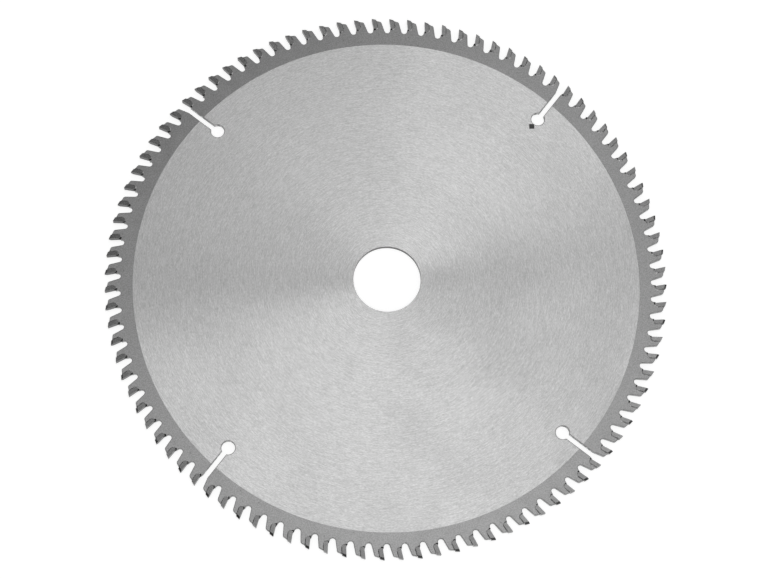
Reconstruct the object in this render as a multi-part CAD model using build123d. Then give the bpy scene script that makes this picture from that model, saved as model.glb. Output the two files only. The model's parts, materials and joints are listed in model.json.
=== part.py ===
from build123d import *
from math import asin, cos, degrees, pi, radians, sin, tan
import os

os.makedirs("parts", exist_ok=True)

# Circular saw blade with brazed carbide tips, ground in pairs of one trapezoid and one flat raker.
# The origin is the middle of the bore and of the plate's thickness, and +Z runs along the bore.
# Seen from +Z the teeth point counter-clockwise, and the middle of gullet 0 lies on +X.

# Blade
blade_d = 250.0  # over the trapezoid tips
bore_d = 30.0
plate_t = 2.2
tooth_pitch = 8.18  # along the rim, rounded to a whole number of tip pairs

# Tip blank, with its inner rear corner cut off at 45 degrees
tip_l = 5.3
tip_t = 1.8
tip_w = 3.2  # the kerf
tip_bevel = 0.8

# Grind
hook_deg = 10.0
relief_deg = 15.0
side_radial_deg = 1.0  # the sides close in towards the bore
side_back_deg = 2.0  # and towards the back of the tooth
raker_drop = 0.2  # how much lower than the trapezoid the raker is
trapezoid_chamfer = 0.9

# Steel tooth
back_step = 0.6  # the steel's shoulder below the rear edge of the tip
shoulder_deg = 15.0
back_lean_deg = 15.6
front_lean_deg = 8.0
toe_h = 0.65  # from the middle of the gullet out to the tip's seat
gullet_r = 1.3
gullet_lead = 0.9  # from the cutting edge forward to the middle of the gullet

# Expansion slots
slot_count = 4
slot_w = 2.4
slot_hole_d = 6.0
slot_depth = 22.0  # from the rim to the middle of the hole
slot_drag = 1.1  # the hole's middle lies this far behind the gullet's radius

# Worked out from the sizes above
blade_r = blade_d / 2
pair_count = round(pi * blade_d / (2 * tooth_pitch))
tooth_count = 2 * pair_count
pitch_deg = 360 / tooth_count
hook = radians(hook_deg)
down_face = Vector(-cos(hook), -sin(hook))
backward = Vector(sin(hook), -cos(hook))
rear_drop = tip_t * tan(radians(relief_deg + hook_deg))


# A spot in the tooth's own frame: so far down the cutting face, and so far behind it.
# The tooth's cutting edge lies on +X, and +Y is the way the tooth moves.
def spot(down, back):
    return Vector(blade_r, 0) + down_face * down + backward * back


def turned(point, angle):
    return point.rotate(Axis.Z, angle)


# Where a line through start meets a line through other.
def meet(start, along, other, other_along):
    across = Vector(-other_along.Y, other_along.X)
    return start + along * ((other - start).dot(across) / along.dot(across))


# The middle of the gullet in front of the tooth.
gullet_centre_r = spot(tip_l, 0).X - toe_h
lead_deg = degrees(asin(gullet_lead / gullet_centre_r))
gullet = turned(Vector(gullet_centre_r, 0), lead_deg)


# One pitch of the steel outline, from the foot of the tooth behind to the foot of this tooth. The
# seat has the same lines as the back and the foot of the tip.
def tooth_edges():
    front_lean = radians(front_lean_deg)
    front_inward = Vector(-cos(front_lean), sin(front_lean))
    front_foot = gullet + Vector(-sin(front_lean), -cos(front_lean)) * gullet_r
    last_foot = turned(front_foot, -pitch_deg)
    last_inward = turned(front_inward, -pitch_deg)

    back_lean = radians(back_lean_deg)
    back_up = Vector(cos(back_lean), sin(back_lean))
    back_foot = turned(gullet, -pitch_deg) + Vector(-sin(back_lean), cos(back_lean)) * gullet_r

    slope = radians(shoulder_deg)
    shoulder_down = Vector(-sin(slope), -cos(slope))
    shoulder_front = spot(rear_drop + back_step, tip_t)
    shoulder = meet(back_foot, back_up, shoulder_front, shoulder_down)

    seat_back = spot(tip_l - tip_bevel, tip_t)
    seat_floor = spot(tip_l, tip_t - tip_bevel)
    toe = meet(seat_floor, backward, front_foot, front_inward)

    return [
        TangentArc(last_foot, back_foot, tangent=last_inward),
        Line(back_foot, shoulder),
        Line(shoulder, shoulder_front),
        Line(shoulder_front, seat_back),
        Line(seat_back, seat_floor),
        Line(seat_floor, toe),
        Line(toe, front_foot),
    ]


# An expansion slot in the frame of its gullet, whose middle lies on +X: a hole, and a straight
# channel of even width from the hole out into the gullet.
def slot_face():
    mouth = Vector(gullet_centre_r, 0)
    hole = Vector(blade_r - slot_depth, -slot_drag)
    run = mouth - hole
    heading = degrees(asin(run.Y / run.length))
    middle = Pos((hole + mouth) / 2) * Rot(0, 0, heading)
    return middle * Rectangle(run.length, slot_w) + Pos(hole) * Circle(slot_hole_d / 2)


# The angle from +X to the cutting edge of a tooth. Tooth 0 is the one behind gullet 0.
def tooth_angle(tooth):
    return tooth * pitch_deg - lead_deg


def blade_body():
    one_pitch = tooth_edges()
    edges = [Rot(0, 0, tooth_angle(tooth)) * edge for tooth in range(tooth_count) for edge in one_pitch]
    outline = make_face(Wire(edges))
    outline -= Circle(bore_d / 2)
    for index in range(slot_count):
        gullet_index = round((index + 0.5) * tooth_count / slot_count)
        outline -= Rot(0, 0, gullet_index * pitch_deg) * slot_face()
    return extrude(Pos(0, 0, -plate_t / 2) * outline, plate_t)


# A tip in the tooth's frame. Its top is ground lower than the blade's rim by drop.
def tip(drop, chamfer):
    top = drop / cos(hook)
    front_top = spot(top, 0)
    corners = [
        front_top,
        spot(top + rear_drop, tip_t),
        spot(tip_l - tip_bevel, tip_t),
        spot(tip_l, tip_t - tip_bevel),
        spot(tip_l, 0),
    ]
    outline = make_face(Polyline(*corners, close=True))
    solid = extrude(Pos(0, 0, -tip_w / 2) * outline, tip_w)

    inward_fall = tan(radians(side_radial_deg))
    backward_fall = tan(radians(side_back_deg))
    relief_fall = tan(radians(relief_deg))
    for side in (1, -1):
        edge = front_top + Vector(0, 0, side * tip_w / 2)
        side_normal = Vector(-inward_fall, -backward_fall, side)
        solid = split(solid, Plane(edge, z_dir=side_normal), keep=Keep.BOTTOM)
        if chamfer > 0:
            corner = edge - Vector(0, 0, side * chamfer)
            chamfer_normal = Vector(1, -relief_fall, side)
            solid = split(solid, Plane(corner, z_dir=chamfer_normal), keep=Keep.BOTTOM)
    return solid


export_step(blade_body(), "parts/blade_body.step")

trapezoid = tip(0, trapezoid_chamfer)
raker = tip(raker_drop, 0)
for pair in range(pair_count):
    leading = Rot(0, 0, tooth_angle(2 * pair + 1)) * trapezoid
    following = Rot(0, 0, tooth_angle(2 * pair + 2)) * raker
    tips = Compound(children=[*leading.solids(), *following.solids()])
    export_step(tips, f"parts/tip_pair_{pair + 1:02d}.step")
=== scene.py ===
import json
import math
import random

import bmesh
import bpy
from mathutils import Matrix, Vector
from mathutils.geometry import intersect_line_line_2d, intersect_line_sphere_2d


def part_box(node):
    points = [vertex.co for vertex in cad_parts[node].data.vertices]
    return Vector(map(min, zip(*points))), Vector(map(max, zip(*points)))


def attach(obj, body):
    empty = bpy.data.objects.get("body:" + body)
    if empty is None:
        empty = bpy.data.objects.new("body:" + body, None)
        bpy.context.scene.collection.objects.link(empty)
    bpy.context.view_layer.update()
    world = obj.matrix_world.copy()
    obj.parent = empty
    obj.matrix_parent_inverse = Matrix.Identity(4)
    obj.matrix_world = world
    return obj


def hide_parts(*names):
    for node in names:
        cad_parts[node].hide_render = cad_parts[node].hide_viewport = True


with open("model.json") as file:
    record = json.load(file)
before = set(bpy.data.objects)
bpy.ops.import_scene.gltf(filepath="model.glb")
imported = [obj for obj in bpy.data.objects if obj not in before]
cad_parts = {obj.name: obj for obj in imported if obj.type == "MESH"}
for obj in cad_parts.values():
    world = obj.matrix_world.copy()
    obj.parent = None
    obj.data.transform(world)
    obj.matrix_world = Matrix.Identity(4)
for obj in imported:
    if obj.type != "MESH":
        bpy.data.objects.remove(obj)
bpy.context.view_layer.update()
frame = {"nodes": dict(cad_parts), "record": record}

# The blade's lengths are in millimetres, and those of floor and lamps in metres
MM = 0.001

# Sizes of the blade, read from the frame
plate_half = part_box("blade_body")[1].z / MM
kerf_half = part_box("tip_pair_01")[1].z / MM
blade_r = max(v.co.xy.length for v in frame["nodes"]["tip_pair_01"].data.vertices) / MM
bore_r = next(m["dims"]["r_mm"] for m in frame["record"]["mounts"] if m["name"] == "arbor_bore")
pair_nodes = sorted(name for name in frame["nodes"] if name.startswith("tip_pair_"))
tooth_count = 2 * len(pair_nodes)
pitch_deg = 360 / tooth_count

# Carbide tip
TIP_LENGTH = 5.3
TIP_THICKNESS = 1.8
TIP_CORNER_R = 0.95
TIP_EDGE_BREAK = 0.02
HOOK = math.radians(10)
RELIEF = math.radians(15)
SIDE_RADIAL = math.radians(1)
SIDE_BACK = math.radians(2)
RAKER_DROP = 0.2
TRAPEZOID_CHAMFER = 0.9

# Steel tooth
BACK_STEP = 0.6
SHOULDER_SLOPE = math.radians(15)
SHOULDER_R = 1.0
BACK_LEAN = math.radians(15.6)
FRONT_LEAN = math.radians(8)
TOE_HEIGHT = 0.65
GULLET_R = 1.3
GULLET_LEAD = 0.9
PLATE_EDGE_BREAK = 0.12  # how far the broken edge reaches down the wall
PLATE_EDGE_REACH = 0.26  # and how far over the face
BORE_EDGE_BREAK = 0.08

# Expansion slots
SLOT_COUNT = 4
SLOT_WIDTH = 2.4
SLOT_HOLE_R = 3.0
SLOT_DEPTH = 22.0
SLOT_DRAG = 1.1

# The ground face inside the matte rim, a circle a little off the bore's middle
GROUND_R = 112.57
GROUND_CENTRE = Vector((0.06, -0.54))

# Square mark beside one of the slot holes
MARK_CENTRE = (70.5, 68.7)
MARK_SIDE = 2.3
MARK_TURN = math.radians(-2.8)

# How far the plan curves turn from one point to the next, in small arcs and in whole circles
ARC_STEP_DEG = 7.5
CIRCLE_STEP_DEG = 1.0

DOWN_FACE = Vector((-math.cos(HOOK), -math.sin(HOOK)))
BACKWARD = Vector((math.sin(HOOK), -math.cos(HOOK)))
DOWN_SHOULDER = Vector((-math.sin(SHOULDER_SLOPE), -math.cos(SHOULDER_SLOPE)))
REAR_DROP = TIP_THICKNESS * math.tan(RELIEF + HOOK)


# Plan geometry, mostly in the tooth's own frame: cutting edge on +X, and +Y the way it moves
def spot(down, back):
    return Vector((blade_r, 0)) + DOWN_FACE * down + BACKWARD * back


def turned(point, degrees):
    return Matrix.Rotation(math.radians(degrees), 2) @ point


def heading(degrees):
    return turned(Vector((1, 0)), degrees)


def arc(centre, radius, start_deg, end_deg, step_deg=ARC_STEP_DEG):
    steps = max(2, math.ceil(abs(end_deg - start_deg) / step_deg))
    turn = (end_deg - start_deg) / steps
    return [centre + heading(start_deg + turn * i) * radius for i in range(steps + 1)]


def rounded(corner, before, after, radius):
    """The corner between the directions to the points before and after it, as a tangent arc."""
    half = before.angle(after) / 2
    centre = corner + (before + after).normalized() * (radius / math.sin(half))
    reach = radius / math.tan(half)
    first = corner + before * reach - centre
    last = corner + after * reach - centre
    start_deg = math.degrees(math.atan2(first.y, first.x))
    sweep = math.degrees(first.angle_signed(last))
    return arc(centre, radius, start_deg, start_deg - sweep)


def meet(start, along, other, other_along):
    far = 100
    return intersect_line_line_2d(start - along * far, start + along * far,
                                  other - other_along * far, other + other_along * far)


gullet_centre_r = spot(TIP_LENGTH, 0).x - TOE_HEIGHT
lead_deg = math.degrees(math.asin(GULLET_LEAD / gullet_centre_r))
gullet = turned(Vector((gullet_centre_r, 0)), lead_deg)
seat_corner = spot(TIP_LENGTH, TIP_THICKNESS)
shoulder_front = spot(REAR_DROP + BACK_STEP, TIP_THICKNESS)
front_inward = Vector((-math.cos(FRONT_LEAN), math.sin(FRONT_LEAN)))
front_foot = gullet + Vector((-math.sin(FRONT_LEAN), -math.cos(FRONT_LEAN))) * GULLET_R
toe = meet(seat_corner, BACKWARD, front_foot, front_inward)


def tooth_angle(tooth):
    return tooth * pitch_deg - lead_deg


def seat_round():
    return rounded(seat_corner, -DOWN_FACE, -BACKWARD, TIP_CORNER_R)


def tooth_back():
    """From the foot of the tooth's back over the shoulder and down the seat to the toe."""
    up = Vector((math.cos(BACK_LEAN), math.sin(BACK_LEAN)))
    out = Vector((-up.y, up.x))
    foot = turned(gullet, -pitch_deg) + out * GULLET_R
    shoulder = meet(foot, up, shoulder_front, DOWN_SHOULDER)
    top = rounded(shoulder, -up, -DOWN_SHOULDER, SHOULDER_R)
    return [*top, shoulder_front, *seat_round(), toe]


def gullet_edge(slotted):
    """The gullet behind the tooth, as points with the finish of the wall that starts there."""
    centre = turned(gullet, -pitch_deg)
    start_deg = -90 - math.degrees(FRONT_LEAN) - pitch_deg
    end_deg = math.degrees(BACK_LEAN) - 270
    if not slotted:
        return [(point, "tooth") for point in arc(centre, GULLET_R, start_deg, end_deg)]
    hole = turned(Vector((blade_r - SLOT_DEPTH, -SLOT_DRAG)), lead_deg - pitch_deg)
    outward = centre - hole
    outward_deg = math.degrees(math.atan2(outward.y, outward.x))
    mouth_half_deg = math.degrees(math.asin(SLOT_WIDTH / 2 / GULLET_R))
    neck_half_deg = math.degrees(math.asin(SLOT_WIDTH / 2 / SLOT_HOLE_R))
    before = arc(centre, GULLET_R, start_deg, outward_deg - 180 + mouth_half_deg)
    neck_start_deg = outward_deg - neck_half_deg
    neck_end_deg = outward_deg + neck_half_deg - 360
    round_hole = arc(hole, SLOT_HOLE_R, neck_start_deg, neck_end_deg)
    after = arc(centre, GULLET_R, outward_deg - 180 - mouth_half_deg, end_deg)
    return ([(point, "tooth") for point in before[:-1]] + [(before[-1], "slot")]
            + [(point, "slot") for point in round_hole] + [(point, "tooth") for point in after])


def plate_outline():
    """The whole edge of the plate in the blade's frame, counter-clockwise, with its finishes."""
    slotted = {round((i + 0.5) * tooth_count / SLOT_COUNT) + 1 for i in range(SLOT_COUNT)}
    edge = []
    for tooth in range(tooth_count):
        one = gullet_edge(tooth in slotted) + [(point, "tooth") for point in tooth_back()]
        edge += [(turned(point, tooth_angle(tooth)), finish) for point, finish in one]
    return edge


def in_ground(point):
    return (point - GROUND_CENTRE).length < GROUND_R


def with_crossings(edge):
    """The edge with a point wherever it crosses the ground circle, and where those points are."""
    points, crossings = [], []
    for (here, finish), (there, _) in zip(edge, edge[1:] + edge[:1]):
        points.append((here, finish))
        if in_ground(here) != in_ground(there):
            hits = intersect_line_sphere_2d(here, there, GROUND_CENTRE, GROUND_R)
            crossings.append(len(points))
            points.append((next(hit for hit in hits if hit is not None), finish))
    return points, crossings


def drawn_in(points, distance):
    """A closed counter-clockwise edge moved to its inside, and at most twice as far at corners."""
    least_lean = 0.5
    moved = []
    for last, here, following in zip(points[-1:] + points[:-1], points, points[1:] + points[:1]):
        a = (here - last).normalized()
        b = (following - here).normalized()
        inward = Vector((-a.y - b.y, a.x + b.x)).normalized()
        lean = max(least_lean, inward.dot(Vector((-a.y, a.x))))
        moved.append(here + inward * (distance / lean))
    return moved


# Mesh helpers
def new_object(name, data):
    made = bpy.data.objects.new(name, data)
    bpy.context.scene.collection.objects.link(made)
    return made


def mesh_object(name, bm, materials, smooth_deg=40):
    """The bmesh in millimetres as an object in metres, smooth up to an angle and sharp past it."""
    bmesh.ops.scale(bm, vec=(MM, MM, MM), verts=bm.verts)
    mesh = bpy.data.meshes.new(name)
    bm.to_mesh(mesh)
    bm.free()
    for material in materials:
        mesh.materials.append(material)
    mesh.set_sharp_from_angle(angle=math.radians(smooth_deg))
    return new_object(name, mesh)


def strip(bm, upper, lower, finishes):
    """Closed strip of quads between two rings; a finish is the material's place for each quad."""
    count = len(upper)
    for i in range(count):
        j = (i + 1) % count
        face = bm.faces.new((upper[i], lower[i], lower[j], upper[j]))
        face.material_index = finishes[i]
        face.smooth = True


# Plate, with its finishes, and the bore wall's painted shade, by their place in the list of
# materials
GROUND, RIM, EDGE, SLOT, BORE = range(5)
PLATE_SMOOTH_DEG = 22  # less than the turn from face to broken edge, so the faces stay flat


def nearest(ring, vert):
    """The place in a ring of the vertex that lies in the same direction from the bore's middle."""
    way = vert.co.xy.normalized()
    return max(range(len(ring)), key=lambda i: ring[i].co.xy.normalized().dot(way))


def part_of(ring, first, last):
    """The part of a closed ring from one place on to another, both included."""
    return ring[first:last + 1] if first < last else ring[first:] + ring[:last + 1]


def plate_cap(bm, outline, crossings, bore, z):
    """One face of the plate: four fields of matte rim, and four of the ground face inside."""
    arcs = []
    for first, last in zip(crossings[1::2], crossings[2::2] + crossings[:1]):
        start = outline[first].co.xy - GROUND_CENTRE
        end = outline[last].co.xy - GROUND_CENTRE
        start_deg = math.degrees(math.atan2(start.y, start.x))
        sweep = (math.degrees(math.atan2(end.y, end.x)) - start_deg) % 360
        circle = arc(GROUND_CENTRE, GROUND_R, start_deg, start_deg + sweep, CIRCLE_STEP_DEG)
        arcs.append([bm.verts.new((point.x, point.y, z)) for point in circle[1:-1]])
        rim = part_of(outline, first, last)
        bm.faces.new(rim + arcs[-1][::-1]).material_index = RIM
    for k, after in enumerate(arcs):
        before = arcs[k - 1]
        slot = outline[crossings[2 * k]:crossings[2 * k + 1] + 1]
        outer = before[len(before) // 2:] + slot + after[:len(after) // 2 + 1]
        inner = part_of(bore, nearest(bore, outer[0]), nearest(bore, outer[-1]))
        bm.faces.new(outer + inner[::-1]).material_index = GROUND


def build_plate(materials):
    edge, crossings = with_crossings(plate_outline())
    points = [point for point, _ in edge]
    finishes = [SLOT if finish == "slot" else EDGE for _, finish in edge]
    drawn = drawn_in(points, PLATE_EDGE_REACH)
    bore = arc(Vector((0, 0)), bore_r, 0, 360, CIRCLE_STEP_DEG)[:-1]
    wide_bore = [point * (1 + BORE_EDGE_BREAK / bore_r) for point in bore]
    bm = bmesh.new()

    def ring(plan, z):
        return [bm.verts.new((point.x, point.y, z)) for point in plan]

    wall_z = plate_half - PLATE_EDGE_BREAK
    bore_z = plate_half - BORE_EDGE_BREAK
    top = ring(drawn, plate_half)
    upper = ring(points, wall_z)
    lower = ring(points, -wall_z)
    bottom = ring(drawn, -plate_half)
    bore_rings = [ring(wide_bore, plate_half), ring(bore, bore_z),
                  ring(bore, -bore_z), ring(wide_bore, -plate_half)]
    broken = [EDGE] * len(points)
    strip(bm, top, upper, broken)
    strip(bm, upper, lower, finishes)
    strip(bm, lower, bottom, broken)
    # the bore wall and its broken edges take the steel whose dark base is painted shade
    for above, below in zip(bore_rings, bore_rings[1:]):
        strip(bm, above, below, [BORE] * len(bore))
    plate_cap(bm, top, crossings, bore_rings[0], plate_half)
    plate_cap(bm, bottom, crossings, bore_rings[-1], -plate_half)
    bmesh.ops.recalc_face_normals(bm, faces=bm.faces)
    plate = mesh_object("saw_plate", bm, materials, PLATE_SMOOTH_DEG)
    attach(plate, "root")
    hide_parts("blade_body")


# Tips, with the flank finish and the other faces' painted dark reflection by their place in the
# list of materials
FLANK, CUTTING_PAINTED_DARK = range(2)
TIP_SMOOTH_DEG = 9  # just more than a step of the rounded corner
SHARP_EDGE = math.radians(20)  # an edge that turns by more than this gets broken
FLANK_UPRIGHT = 0.95  # a face whose normal stands at least this upright is a flank


def sliced(bm, point, normal):
    """Cuts off what lies beyond a plane, and closes the cut."""
    whole = bm.verts[:] + bm.edges[:] + bm.faces[:]
    cut = bmesh.ops.bisect_plane(bm, geom=whole, plane_co=point, plane_no=normal, clear_outer=True)
    edges = [item for item in cut["geom_cut"] if isinstance(item, bmesh.types.BMEdge)]
    bmesh.ops.holes_fill(bm, edges=edges)


def tip_form(bm, drop, chamfer, angle):
    """One carbide tip in the bmesh, turned to its place on the blade."""
    tip = bmesh.new()
    top = drop / math.cos(HOOK)
    front_top = spot(top, 0)
    profile = [front_top, spot(top + REAR_DROP, TIP_THICKNESS), *seat_round(), spot(TIP_LENGTH, 0)]
    face = tip.faces.new([tip.verts.new((point.x, point.y, -kerf_half)) for point in profile])
    raised = bmesh.ops.extrude_face_region(tip, geom=[face])["geom"]
    lifted = [item for item in raised if isinstance(item, bmesh.types.BMVert)]
    bmesh.ops.translate(tip, vec=(0, 0, 2 * kerf_half), verts=lifted)
    for side in (1, -1):
        edge = Vector((front_top.x, front_top.y, side * kerf_half))
        sliced(tip, edge, (-math.tan(SIDE_RADIAL), -math.tan(SIDE_BACK), side))
        if chamfer > 0:
            corner = edge - Vector((0, 0, side * chamfer))
            sliced(tip, corner, (1, -math.tan(RELIEF), side))
    bmesh.ops.recalc_face_normals(tip, faces=tip.faces)
    sharp = [edge for edge in tip.edges if edge.calc_face_angle(0) > SHARP_EDGE]
    broken = []
    for edge in sharp:
        outward = (edge.link_faces[0].normal + edge.link_faces[1].normal).normalized()
        middle = (edge.verts[0].co + edge.verts[1].co) / 2
        broken.append((middle - outward * TIP_EDGE_BREAK, outward))
    for point, outward in broken:
        sliced(tip, point, outward)
    bmesh.ops.recalc_face_normals(tip, faces=tip.faces)
    turn = Matrix.Rotation(math.radians(angle), 3, "Z")
    bmesh.ops.rotate(tip, matrix=turn, verts=tip.verts)
    for face in tip.faces:
        face.smooth = True
        # faces that are not flanks take the far darker carbide, a painted dark reflection
        face.material_index = FLANK if abs(face.normal.z) > FLANK_UPRIGHT else CUTTING_PAINTED_DARK
    holder = bpy.data.meshes.new("one_tip")
    tip.to_mesh(holder)
    tip.free()
    bm.from_mesh(holder)
    bpy.data.meshes.remove(holder)


def build_tips(materials):
    """A trapezoid and the raker after it, ground once and set round the blade pair by pair."""
    bm = bmesh.new()
    tip_form(bm, 0, TRAPEZOID_CHAMFER, tooth_angle(1))
    tip_form(bm, RAKER_DROP, 0, tooth_angle(2))
    first = mesh_object("carbide_tips_01", bm, materials, TIP_SMOOTH_DEG)
    for pair, node in enumerate(pair_nodes):
        tips = new_object(f"carbide_tips_{pair + 1:02d}", first.data) if pair else first
        tips.rotation_euler.z = math.radians(2 * pitch_deg * pair)
        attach(tips, "root")
        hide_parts(node)


# Braze, with its finishes by their place in the list of materials
SOLDER, STAINED, NEAR_BLACK = range(3)
BRAZE_SMOOTH_DEG = 50

# The fillet along the seat, with places as shares of the seat's back and of its foot
SEAM_REACH = 0.34
SEAM_RISE = 0.25
SEAM_SINK = 0.05
SEAM_STEPS = 4
SEAM_PULL = (0.48, 0.3)  # draws the section hollow, as shares of reach and rise
SEAM_BACK_PLACES = (0, 0.2, 0.4, 0.6, 0.8)
SEAM_FOOT_PLACES = (0.3, 0.65, 1)
UNEVEN_REACH = (0.75, 1.25)
UNEVEN_RISE = (0.8, 1.15)

# The beads in the corners, with their reach over the steel and over the tip
TOE_BEAD = (0.45, 1.0)
BACK_BEAD = (0.16, 0.14)
BEAD_PLACES = (-1.0, -0.9, -0.6, 0, 0.6, 0.9, 1.0)
BEAD_SQUARENESS = 6
BEAD_LEAST = 0.05  # keeps the ends from shrinking to a point
BEAD_PROUD = 0.12  # how far they stand past the faces of the plate
UNEVEN_BEAD = (0.88, 1.08)

# The near-black drops at the tip's foot: half the length along the seat, half the width, and the
# height
TOE_DROP = (0.58, 0.46, 0.34)
TOE_DROP_PLACES = (-0.98, -0.8, -0.45, 0, 0.45, 0.8, 0.98)
TOE_DROP_SIDES = 8
TOE_DROP_INWARD = 0.1
TOE_DROP_BACK = (0.0, 0.3)
UNEVEN_DROP = (0.6, 1.2)
UNEVEN_SECTION = (0.85, 1.1)


def hollow(reach, rise):
    """Section of a fillet from its foot on the steel to its lip on the tip, hollow in between."""
    foot = Vector((reach, 0))
    pull = Vector((reach * SEAM_PULL[0], rise * SEAM_PULL[1]))
    lip = Vector((0, rise))
    curve = []
    for i in range(SEAM_STEPS + 1):
        share = i / SEAM_STEPS
        point = foot.lerp(pull, share).lerp(pull.lerp(lip, share), share)
        curve.append((point.x, point.y))
    return [(reach, -SEAM_SINK), *curve, (-SEAM_SINK, rise), (-SEAM_SINK, -SEAM_SINK)]


def swept(bm, sections, finishes):
    """A closed bar through a row of closed sections, with the finish of the stretch after each."""
    rings = [[bm.verts.new(point) for point in section] for section in sections]
    for here, there, finish in zip(rings, rings[1:], finishes):
        for i in range(len(here)):
            j = (i + 1) % len(here)
            face = bm.faces.new((here[i], here[j], there[j], there[i]))
            face.smooth = True
            face.material_index = finish
    bm.faces.new(rings[0][::-1]).material_index = finishes[0]
    bm.faces.new(rings[-1]).material_index = finishes[-1]


def seam_line():
    """Points along the seat from shoulder to toe, with the way over the steel and the finish."""
    ring = seat_round()
    back = [shoulder_front.lerp(ring[0], share) for share in SEAM_BACK_PLACES]
    line = [(point, BACKWARD, STAINED) for point in back]
    centre = seat_corner - (DOWN_FACE + BACKWARD) * TIP_CORNER_R
    line += [(point, (point - centre).normalized(), SOLDER) for point in ring]
    foot = spot(TIP_LENGTH, 0)
    line += [(ring[-1].lerp(foot, share), DOWN_FACE, SOLDER) for share in SEAM_FOOT_PLACES]
    return line


def seam(bm, side, chance):
    """The fillet on one face of the plate, a little uneven along its way."""
    sections = []
    line = seam_line()
    for point, outward, _ in line:
        reach = SEAM_REACH * chance.uniform(*UNEVEN_REACH)
        rise = SEAM_RISE * chance.uniform(*UNEVEN_RISE)
        section = []
        for out, up in hollow(reach, rise):
            place = point + outward * out
            section.append((place.x, place.y, side * (plate_half + up)))
        sections.append(section)
    swept(bm, sections, [finish for _, _, finish in line])


def bead(bm, corner, along_steel, along_tip, size, finish, chance):
    """Braze in a corner of tip and steel, through the plate and rounded off past its faces."""
    sections = []
    for height in BEAD_PLACES:
        full = math.sqrt(max(BEAD_LEAST, 1 - abs(height) ** BEAD_SQUARENESS))
        full *= chance.uniform(*UNEVEN_BEAD)
        section = []
        for out, up in hollow(size[0] * full, size[1] * full):
            place = corner + along_steel * out + along_tip * up
            section.append((place.x, place.y, height * (plate_half + BEAD_PROUD)))
        sections.append(section)
    swept(bm, sections, [finish] * len(sections))


def toe_drop(bm, side, chance):
    """A near-black drop at the tip's foot, set on the face of the plate."""
    length, width, height = (size * chance.uniform(*UNEVEN_DROP) for size in TOE_DROP)
    centre = spot(TIP_LENGTH + TOE_DROP_INWARD, chance.uniform(*TOE_DROP_BACK))
    sections = []
    for along in TOE_DROP_PLACES:
        full = math.sqrt(1 - along * along) * chance.uniform(*UNEVEN_SECTION)
        section = []
        for i in range(TOE_DROP_SIDES):
            turn = 2 * math.pi * i / TOE_DROP_SIDES
            across = math.cos(turn) * full * width
            up = math.sin(turn) * full * height
            place = centre + BACKWARD * along * length + DOWN_FACE * across
            section.append((place.x, place.y, side * (plate_half + up)))
        sections.append(section)
    swept(bm, sections, [NEAR_BLACK] * len(sections))


def braze_form(bm, chance, angle):
    """All the braze of one tooth in the bmesh, turned to its place on the blade."""
    first = len(bm.verts)
    for side in (1, -1):
        seam(bm, side, chance)
        toe_drop(bm, side, chance)
    # the bead in the toe corner is near-black
    bead(bm, spot(TIP_LENGTH, 0), -BACKWARD, -DOWN_FACE, TOE_BEAD, NEAR_BLACK, chance)
    bead(bm, shoulder_front, DOWN_SHOULDER, -DOWN_FACE, BACK_BEAD, SOLDER, chance)
    bm.verts.ensure_lookup_table()
    turn = Matrix.Rotation(math.radians(angle), 3, "Z")
    bmesh.ops.rotate(bm, matrix=turn, verts=bm.verts[first:])


def build_braze(materials):
    """The braze of each pair of tips, which differs from pair to pair by its own seed."""
    for pair in range(len(pair_nodes)):
        chance = random.Random(pair)
        bm = bmesh.new()
        braze_form(bm, chance, tooth_angle(2 * pair + 1))
        braze_form(bm, chance, tooth_angle(2 * pair + 2))
        bmesh.ops.recalc_face_normals(bm, faces=bm.faces)
        seams = mesh_object(f"braze_seams_{pair + 1:02d}", bm, materials, BRAZE_SMOOTH_DEG)
        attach(seams, "root")


# Shader helpers
def node(tree, kind, values=(), **settings):
    """A new shader node with its settings, and each input set to a value or linked to a socket."""
    made = tree.nodes.new(kind)
    for name, value in settings.items():
        setattr(made, name, value)
    for place, value in dict(values).items():
        if isinstance(value, bpy.types.NodeSocket):
            tree.links.new(value, made.inputs[place])
        else:
            made.inputs[place].default_value = value
    return made


def maths(tree, operation, first, second=0.0):
    return node(tree, "ShaderNodeMath", {0: first, 1: second}, operation=operation).outputs[0]


def vector_maths(tree, operation, first, second):
    values = {0: first, 1: second}
    return node(tree, "ShaderNodeVectorMath", values, operation=operation).outputs[0]


def spread(tree, value, low, high, to_low=0.0, to_high=1.0):
    """Maps a value from one range onto another, held at its ends."""
    values = {"Value": value, "From Min": low, "From Max": high,
              "To Min": to_low, "To Max": to_high}
    return node(tree, "ShaderNodeMapRange", values, interpolation_type="SMOOTHSTEP").outputs[0]


def new_group(name, inputs, outputs):
    """A node group with its inputs and its outputs, which are all plain values."""
    group = bpy.data.node_groups.new(name, "ShaderNodeTree")
    for label, kind, value in inputs:
        socket = group.interface.new_socket(label, in_out="INPUT", socket_type=kind)
        if value is not None:
            socket.default_value = value
    for label in outputs:
        group.interface.new_socket(label, in_out="OUTPUT", socket_type="NodeSocketFloat")
    return group, group.nodes.new("NodeGroupInput"), group.nodes.new("NodeGroupOutput")


def placed(tree, group, values):
    return node(tree, "ShaderNodeGroup", values, node_tree=group)


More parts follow.
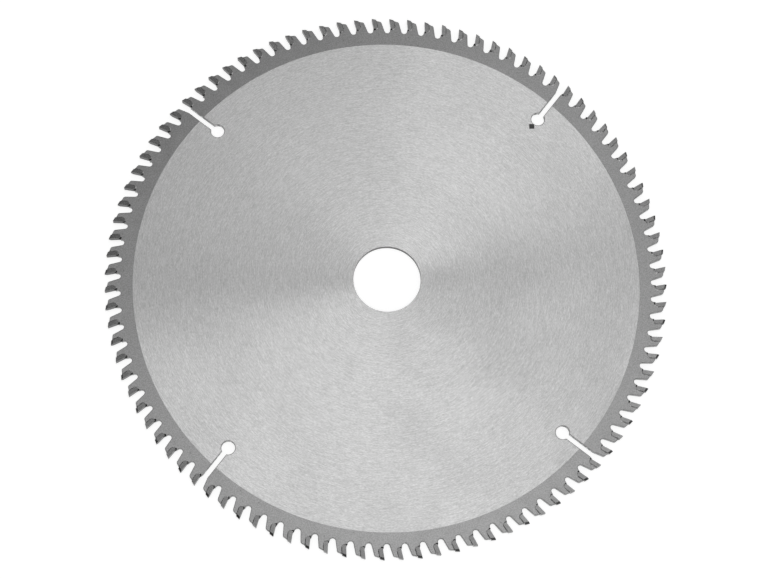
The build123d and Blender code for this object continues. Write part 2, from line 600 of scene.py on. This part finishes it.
def round_grain_group():
    """Grinding marks round the bore: fine grain, streaks, scratches and a short speckle."""
    group, given, result = new_group("round_grain", [
        ("Place", "NodeSocketVector", None),
        ("Grain width in mm", "NodeSocketFloat", 0.2),
        ("Grain length in mm", "NodeSocketFloat", 1.0),
    ], ["Grain", "Streaks", "Scratches", "Speckle"])
    mm = vector_maths(group, "MULTIPLY", given.outputs["Place"], (1 / MM, 1 / MM, 0))
    radius = node(group, "ShaderNodeVectorMath", {0: mm}, operation="LENGTH").outputs["Value"]
    parts = node(group, "ShaderNodeSeparateXYZ", {0: mm})
    above = node(group, "ShaderNodeSeparateXYZ", {0: given.outputs["Place"]}).outputs[2]
    other_face = 37.0  # sets the marks on one face of the plate apart from those on the other
    side = maths(group, "MULTIPLY", maths(group, "SIGN", above), other_face)

    def ringed(widths, lengths, seed):
        width = maths(group, "MULTIPLY", given.outputs["Grain width in mm"], widths)
        length = maths(group, "MULTIPLY", given.outputs["Grain length in mm"], lengths)
        across = maths(group, "DIVIDE", radius, width)
        x = maths(group, "DIVIDE", parts.outputs[0], length)
        y = maths(group, "DIVIDE", parts.outputs[1], length)
        place = node(group, "ShaderNodeCombineXYZ", {0: across, 1: x, 2: y}).outputs[0]
        fourth = maths(group, "ADD", side, seed)
        values = {"Vector": place, "W": fourth, "Scale": 1.0, "Detail": 1.0}
        return node(group, "ShaderNodeTexNoise", values, noise_dimensions="4D").outputs["Fac"]

    grain = ringed(1, 1, 1.0)
    streaks = ringed(1.2, 4, 2.0)
    scratches = ringed(1, 11, 3.0)
    speckle = ringed(1.5, 0.5, 4.0)
    links = group.links
    links.new(spread(group, speckle, 0.25, 0.75), result.inputs["Speckle"])
    links.new(spread(group, grain, 0.25, 0.75), result.inputs["Grain"])
    links.new(spread(group, streaks, 0.3, 0.7), result.inputs["Streaks"])
    links.new(spread(group, scratches, 0.66, 0.74), result.inputs["Scratches"])
    return group


def pits_group():
    """Fine tooth of a blasted or cut surface, and a few small dark pits."""
    group, given, result = new_group("pits", [
        ("Place", "NodeSocketVector", None),
        ("Size in mm", "NodeSocketFloat", 0.4),
    ], ["Tooth", "Pits"])
    place = given.outputs["Place"]
    per_metre = maths(group, "DIVIDE", 1 / MM, given.outputs["Size in mm"])
    noise = {"Vector": place, "Scale": per_metre, "Detail": 3.0, "Roughness": 0.6}
    tooth = node(group, "ShaderNodeTexNoise", noise).outputs["Fac"]
    pit_share = 0.16  # cells of pits for each cell of tooth
    cell_scale = maths(group, "MULTIPLY", per_metre, pit_share)
    cells = node(group, "ShaderNodeTexVoronoi", {"Vector": place, "Scale": cell_scale})
    links = group.links
    dark = spread(group, cells.outputs["Distance"], 0.06, 0.14, 1.0, 0.0)
    links.new(spread(group, tooth, 0.3, 0.7), result.inputs["Tooth"])
    links.new(dark, result.inputs["Pits"])
    return group


def mottle_group():
    """Slow, faint unevenness over a whole piece."""
    group, given, result = new_group("mottle", [
        ("Place", "NodeSocketVector", None),
        ("Size in mm", "NodeSocketFloat", 20.0),
    ], ["Mottle"])
    per_metre = maths(group, "DIVIDE", 1 / MM, given.outputs["Size in mm"])
    place = given.outputs["Place"]
    noise = {"Vector": place, "Scale": per_metre, "Detail": 4.0, "Roughness": 0.55}
    cloud = node(group, "ShaderNodeTexNoise", noise).outputs["Fac"]
    group.links.new(spread(group, cloud, 0.3, 0.7), result.inputs["Mottle"])
    return group


def new_material(name):
    """A metal with a Principled shader, and the place on the piece that its patterns follow."""
    material = bpy.data.materials.new(name)
    material.use_nodes = True
    tree = material.node_tree
    tree.nodes.clear()
    output = tree.nodes.new("ShaderNodeOutputMaterial")
    shader = tree.nodes.new("ShaderNodeBsdfPrincipled")
    tree.links.new(shader.outputs[0], output.inputs["Surface"])
    shader.inputs["Metallic"].default_value = 1.0
    place = tree.nodes.new("ShaderNodeTexCoord").outputs["Object"]
    return material, tree, shader, place


def grey(level):
    return (level, level, level, 1.0)


def shaded(tree, base, factors):
    """A grey that is the base times one plus each factor's share of its mask."""
    level = base
    for mask, low, high in factors:
        level = maths(tree, "MULTIPLY", level, spread(tree, mask, 0.0, 1.0, 1 + low, 1 + high))
    return node(tree, "ShaderNodeCombineColor", {0: level, 1: level, 2: level}).outputs[0]


def bumped(tree, height, strength, distance_mm):
    """A normal that follows the height."""
    values = {"Height": height, "Strength": strength, "Distance": distance_mm * MM}
    return node(tree, "ShaderNodeBump", values).outputs[0]


def mark_mask(tree, place):
    """One inside the square mark on the upper face, and nought elsewhere."""
    middle = (MARK_CENTRE[0] * MM, MARK_CENTRE[1] * MM, 0)
    moved = vector_maths(tree, "SUBTRACT", place, middle)
    square = {"Vector": moved, "Angle": -MARK_TURN}
    straight = node(tree, "ShaderNodeVectorRotate", square, rotation_type="Z_AXIS").outputs[0]
    parts = node(tree, "ShaderNodeSeparateXYZ", {0: straight})
    half = MARK_SIDE / 2 * MM
    x = maths(tree, "LESS_THAN", maths(tree, "ABSOLUTE", parts.outputs[0]), half)
    y = maths(tree, "LESS_THAN", maths(tree, "ABSOLUTE", parts.outputs[1]), half)
    above = maths(tree, "GREATER_THAN", parts.outputs[2], 0.0)
    return maths(tree, "MULTIPLY", maths(tree, "MULTIPLY", x, y), above)


# Base greys of the plate's faces and of the painted mark
GROUND_GREY = 0.5
RIM_GREY = 0.277
INK_GREY = 0.06


def ground_steel(round_grain, mottle):
    """The face ground round the bore, with the painted mark on its upper side."""
    material, tree, shader, place = new_material("ground_steel")
    sizes = {"Place": place, "Grain width in mm": 0.2, "Grain length in mm": 1.0}
    grain = placed(tree, round_grain, sizes)
    cloud = placed(tree, mottle, {"Place": place, "Size in mm": 35.0}).outputs["Mottle"]
    mark = mark_mask(tree, place)
    steel = shaded(tree, GROUND_GREY, [
        (grain.outputs["Grain"], -0.14, 0.14),
        (grain.outputs["Streaks"], -0.095, 0.095),
        (grain.outputs["Scratches"], 0.0, -0.12),
        (cloud, -0.01, 0.01),
    ])
    paint = {"Factor": mark, 6: steel, 7: grey(INK_GREY)}
    colour = node(tree, "ShaderNodeMix", paint, data_type="RGBA").outputs[2]
    rough = spread(tree, cloud, 0.0, 1.0, 0.294, 0.32)
    ink_roughness = 0.2  # more than that of the steel
    rough = maths(tree, "ADD", rough, maths(tree, "MULTIPLY", mark, ink_roughness))
    links = tree.links
    links.new(colour, shader.inputs["Base Color"])
    links.new(rough, shader.inputs["Roughness"])
    links.new(maths(tree, "SUBTRACT", 1.0, mark), shader.inputs["Metallic"])
    links.new(bumped(tree, grain.outputs["Speckle"], 0.15, 0.01), shader.inputs["Normal"])
    shader.inputs["Anisotropic"].default_value = 0.987
    shader.inputs["Anisotropic Rotation"].default_value = 0.25
    return material


def rim_steel(pits, mottle):
    """The matte zone outside the ground face."""
    material, tree, shader, place = new_material("rim_steel")
    fine = placed(tree, pits, {"Place": place, "Size in mm": 0.5})
    cloud = placed(tree, mottle, {"Place": place, "Size in mm": 9.0}).outputs["Mottle"]
    colour = shaded(tree, RIM_GREY, [
        (fine.outputs["Tooth"], -0.14, 0.14),
        (fine.outputs["Pits"], 0.0, -0.25),
        (cloud, -0.03, 0.03),
    ])
    links = tree.links
    links.new(colour, shader.inputs["Base Color"])
    links.new(spread(tree, cloud, 0.0, 1.0, 0.358, 0.398), shader.inputs["Roughness"])
    links.new(bumped(tree, fine.outputs["Tooth"], 0.3, 0.01), shader.inputs["Normal"])
    return material


def cut_wall(name, base, roughness, scorch, pits, mottle):
    """A cut edge of the plate, with fine lines through its thickness and scorched spots."""
    material, tree, shader, place = new_material(name)
    drawn_out = vector_maths(tree, "MULTIPLY", place, (1, 1, 0.06))
    lines = placed(tree, pits, {"Place": drawn_out, "Size in mm": 0.16}).outputs["Tooth"]
    spots = placed(tree, mottle, {"Place": drawn_out, "Size in mm": 1.5}).outputs["Mottle"]
    colour = shaded(tree, base, [(lines, -0.25, 0.25), (spots, scorch, -scorch)])
    links = tree.links
    links.new(colour, shader.inputs["Base Color"])
    rough = spread(tree, lines, 0.0, 1.0, roughness, roughness + 0.12)
    links.new(rough, shader.inputs["Roughness"])
    links.new(bumped(tree, lines, 0.4, 0.02), shader.inputs["Normal"])
    return material


def carbide_finish(name, base, roughness, pits, mottle):
    """Carbide with the fine lines of its grinding, a little lighter or darker by the pair."""
    material, tree, shader, place = new_material(name)
    chance = tree.nodes.new("ShaderNodeObjectInfo").outputs["Random"]
    shift = node(tree, "ShaderNodeCombineXYZ", {0: chance, 1: chance, 2: chance}).outputs[0]
    moved = vector_maths(tree, "ADD", place, shift)
    drawn_out = vector_maths(tree, "MULTIPLY", moved, (0.12, 1, 1))
    lines = placed(tree, pits, {"Place": drawn_out, "Size in mm": 0.12}).outputs["Tooth"]
    cloud = placed(tree, mottle, {"Place": moved, "Size in mm": 2.0}).outputs["Mottle"]
    colour = shaded(tree, base, [
        (lines, -0.12, 0.12),
        (cloud, -0.06, 0.06),
        (chance, -0.08, 0.08),
    ])
    links = tree.links
    links.new(colour, shader.inputs["Base Color"])
    rough = spread(tree, lines, 0.0, 1.0, roughness, roughness + 0.04)
    links.new(rough, shader.inputs["Roughness"])
    links.new(bumped(tree, lines, 0.25, 0.01), shader.inputs["Normal"])
    return material


def braze_finish(name, base, pits, mottle):
    """Braze with a cloudy, finely grained surface."""
    material, tree, shader, place = new_material(name)
    fine = placed(tree, pits, {"Place": place, "Size in mm": 0.25}).outputs["Tooth"]
    cloud = placed(tree, mottle, {"Place": place, "Size in mm": 1.6}).outputs["Mottle"]
    colour = shaded(tree, base, [(cloud, -0.45, 0.7), (fine, -0.15, 0.15)])
    links = tree.links
    links.new(colour, shader.inputs["Base Color"])
    links.new(spread(tree, cloud, 0.0, 1.0, 0.36, 0.5), shader.inputs["Roughness"])
    links.new(bumped(tree, fine, 0.4, 0.03), shader.inputs["Normal"])
    return material


# Stage
FLOOR_SIZE = 40.0
FLOOR_GREY = 0.42
FLOOR_GLOW = 0.8
DOME_LEVEL = 0.40


def seen_directly(tree):
    """One for rays of the camera, of gloss and through glass, and nought for diffuse light."""
    path = tree.nodes.new("ShaderNodeLightPath")
    first = maths(tree, "MAXIMUM", path.outputs["Is Camera Ray"], path.outputs["Is Glossy Ray"])
    return maths(tree, "MAXIMUM", first, path.outputs["Is Transmission Ray"])


def build_floor():
    """A floor that the camera and the metal see as nearly white, with the blade's shadow on it."""
    bm = bmesh.new()
    half = FLOOR_SIZE / 2 / MM
    corners = ((-half, -half), (half, -half), (half, half), (-half, half))
    bm.faces.new([bm.verts.new((x, y, -kerf_half)) for x, y in corners])
    material = bpy.data.materials.new("pale_floor")
    material.use_nodes = True
    tree = material.node_tree
    tree.nodes.clear()
    matt = node(tree, "ShaderNodeBsdfDiffuse", {"Color": grey(FLOOR_GREY)})
    strength = maths(tree, "MULTIPLY", seen_directly(tree), FLOOR_GLOW)
    glow = node(tree, "ShaderNodeEmission", {"Strength": strength})
    both = node(tree, "ShaderNodeAddShader", {0: matt.outputs[0], 1: glow.outputs[0]})
    output = tree.nodes.new("ShaderNodeOutputMaterial")
    tree.links.new(both.outputs[0], output.inputs["Surface"])
    floor = mesh_object("floor", bm, [material])


def build_dome():
    """Even light from all round."""
    world = bpy.data.worlds.new("studio_dome")
    world.use_nodes = True
    tree = world.node_tree
    tree.nodes.clear()
    sky = node(tree, "ShaderNodeBackground", {"Strength": DOME_LEVEL})
    output = tree.nodes.new("ShaderNodeOutputWorld")
    tree.links.new(sky.outputs[0], output.inputs["Surface"])
    bpy.context.scene.world = world


LAMP_DISTANCE = 1.2


def build_lamp(name, compass, lean, width, height, watts):
    """A flat lamp aimed at the blade, by its bearing round it and its lean from straight up."""
    data = bpy.data.lights.new(name, "AREA")
    data.shape = "RECTANGLE"
    data.size = width
    data.size_y = height
    data.energy = watts
    lamp = new_object(name, data)
    round_blade = Matrix.Rotation(math.radians(compass + 90), 4, "Z")
    aim = round_blade @ Matrix.Rotation(math.radians(lean), 4, "X")
    lamp.matrix_world = aim @ Matrix.Translation((0, 0, LAMP_DISTANCE))


def build_lamps():
    build_lamp("left_softbox", compass=188.1, lean=11.7, width=0.655, height=0.517, watts=1.215)
    build_lamp("right_softbox", compass=8.4, lean=9.1, width=0.583, height=0.374, watts=1.16)
    build_lamp("side_strip", compass=13.2, lean=34.9, width=0.23, height=0.856, watts=0.254)
    build_lamp("rear_softbox", compass=65.0, lean=22.6, width=0.302, height=0.429, watts=0.63)
    build_lamp("low_window", compass=285.0, lean=74.0, width=2.2, height=0.5, watts=4.6)


# Camera, as a tripod head holds it: turned round the blade, tilted from straight down, and rolled
CAMERA_TURN = math.radians(-11.614)
CAMERA_TILT = math.radians(15.982)
CAMERA_ROLL = math.radians(8.218)
CAMERA_AIM = Vector((-0.796, -4.772, plate_half)) * MM
CAMERA_DISTANCE = 891.9 * MM
CAMERA_LENS = 93.79


def build_camera():
    data = bpy.data.cameras.new("camera")
    data.lens = CAMERA_LENS
    data.sensor_width = 36.0
    data.clip_start = 0.01
    data.clip_end = 200.0
    camera = new_object("camera", data)
    stance = Matrix.Rotation(CAMERA_TURN, 4, "Z") @ Matrix.Rotation(CAMERA_TILT, 4, "X")
    away = Matrix.Translation((0, 0, CAMERA_DISTANCE))
    held = stance @ away @ Matrix.Rotation(CAMERA_ROLL, 4, "Z")
    camera.matrix_world = Matrix.Translation(CAMERA_AIM) @ held
    bpy.context.scene.camera = camera


def build_scene():
    round_grain = round_grain_group()
    pits = pits_group()
    mottle = mottle_group()
    shared = {"pits": pits, "mottle": mottle}
    build_plate([
        ground_steel(round_grain, mottle),
        rim_steel(pits, mottle),
        cut_wall("cut_steel", base=0.37, roughness=0.45, scorch=0.1, **shared),
        cut_wall("burnt_steel", base=0.37, roughness=0.4, scorch=0.6, **shared),
        # the bore wall's low base grey is painted shade: the cut steel made dark for the shade
        # inside the bore
        cut_wall("bore_steel_painted_shade", base=0.1, roughness=0.35, scorch=0.1, **shared),
    ])
    build_tips([
        carbide_finish("ground_carbide", base=0.168, roughness=0.26, **shared),
        # painted dark reflection: the same carbide made far darker, standing in for the dark
        # surroundings these faces mirror
        carbide_finish("carbide_painted_dark_reflection", base=0.045, roughness=0.24, **shared),
    ])
    build_braze([
        braze_finish("silver_braze", base=0.48, **shared),
        braze_finish("stained_braze", base=0.2, **shared),
        # near-black braze for the toe bead and the drops at the tip's foot
        braze_finish("near_black_braze", base=0.02, **shared),
    ])
    build_floor()
    build_dome()
    build_lamps()
    build_camera()
    bpy.context.scene.view_settings.view_transform = "Standard"


build_scene()
